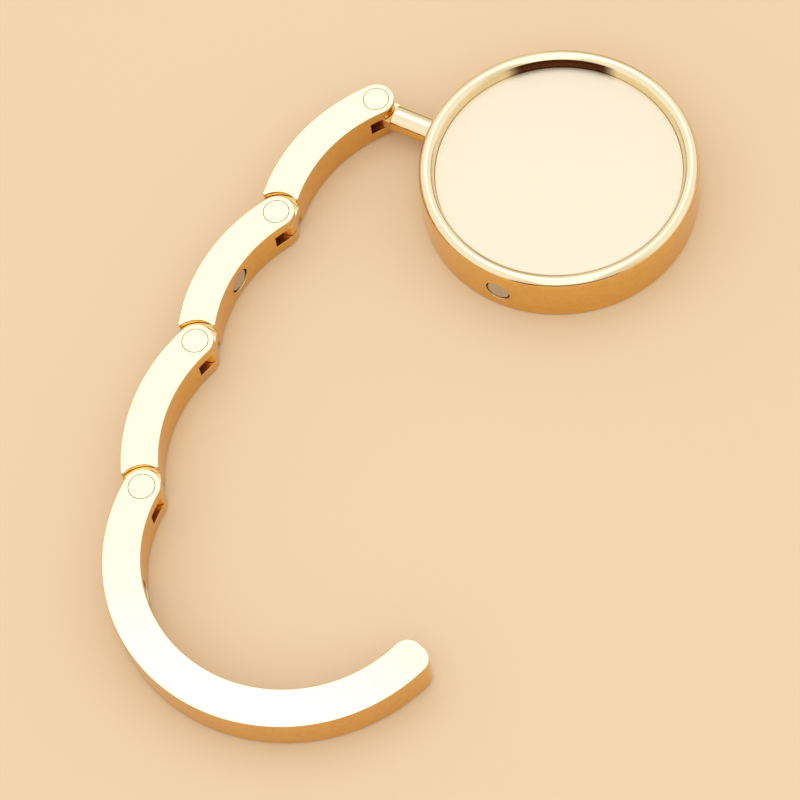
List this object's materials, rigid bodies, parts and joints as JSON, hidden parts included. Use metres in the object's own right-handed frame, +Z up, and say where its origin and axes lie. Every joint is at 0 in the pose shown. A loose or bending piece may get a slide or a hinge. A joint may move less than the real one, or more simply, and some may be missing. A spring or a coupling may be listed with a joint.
{
  "type": "folding purse hook",
  "caption": "Round weighted disc with a sliding, swivelling stem and a chain of bowed links ending in a hook, which folds into a ring round the disc.",
  "frame": {"origin": "centre of the grip pad's underside, on the disc's axis, where the disc stands on the table", "axes": "+Z up along the disc's axis; the stem leaves the disc along -X; the arm runs along -Y to the hook"},
  "size_m": [0.0666, 0.1281, 0.0095],
  "materials": {
    "gold": "bright polished gold plating on die-cast zinc",
    "gold_face": "pale satin gold plate",
    "nickel": "nickel-plated magnet",
    "steel": "plain steel sheet",
    "rubber": "matt black rubber",
    "nylon": "natural nylon"
  },
  "bodies": {
    "disc": {"disc_case": "gold", "face_plate": "gold_face", "base_cover": "steel", "grip_pad": "rubber", "stem_stop_pin": "steel", "disc_magnet_front": "nickel", "disc_magnet_rear": "nickel"},
    "stem_ring": {"friction_ring": "nylon"},
    "stem": {"swivel_stem": "gold"},
    "link_1": {"first_link": "gold", "first_link_pin": "gold"},
    "link_2": {"second_link": "gold", "second_link_pin": "gold", "second_link_magnet": "nickel"},
    "link_3": {"third_link": "gold", "third_link_pin": "gold"},
    "hook": {"hook_arm": "gold", "hook_arm_pin": "gold", "hook_magnet": "nickel"}
  },
  "joints": [
    {"name": "stem_slide", "type": "slide", "parent": "disc", "child": "stem_ring", "axis": [1, 0, 0], "range_m": [0, 0.0074]},
    {"name": "stem_swivel", "type": "hinge", "parent": "stem_ring", "child": "stem", "pos_m": [-0.03, 0, 0.00365], "axis": [1, 0, 0], "continuous": true},
    {"name": "first_pivot", "type": "hinge", "parent": "stem", "child": "link_1", "pos_m": [-0.03346, 0, 0.00365], "axis": [0, 0, 1], "range_deg": [0, 39.9]},
    {"name": "second_pivot", "type": "hinge", "parent": "link_1", "child": "link_2", "pos_m": [-0.03786, -0.02588, 0.00365], "axis": [0, 0, 1], "range_deg": [0, 50.9]},
    {"name": "third_pivot", "type": "hinge", "parent": "link_2", "child": "link_3", "pos_m": [-0.0379, -0.05213, 0.00365], "axis": [0, 0, 1], "range_deg": [0, 49.5]},
    {"name": "hook_pivot", "type": "hinge", "parent": "link_3", "child": "hook", "pos_m": [-0.03258, -0.07783, 0.00365], "axis": [0, 0, 1], "range_deg": [0, 39.5]}
  ]
}
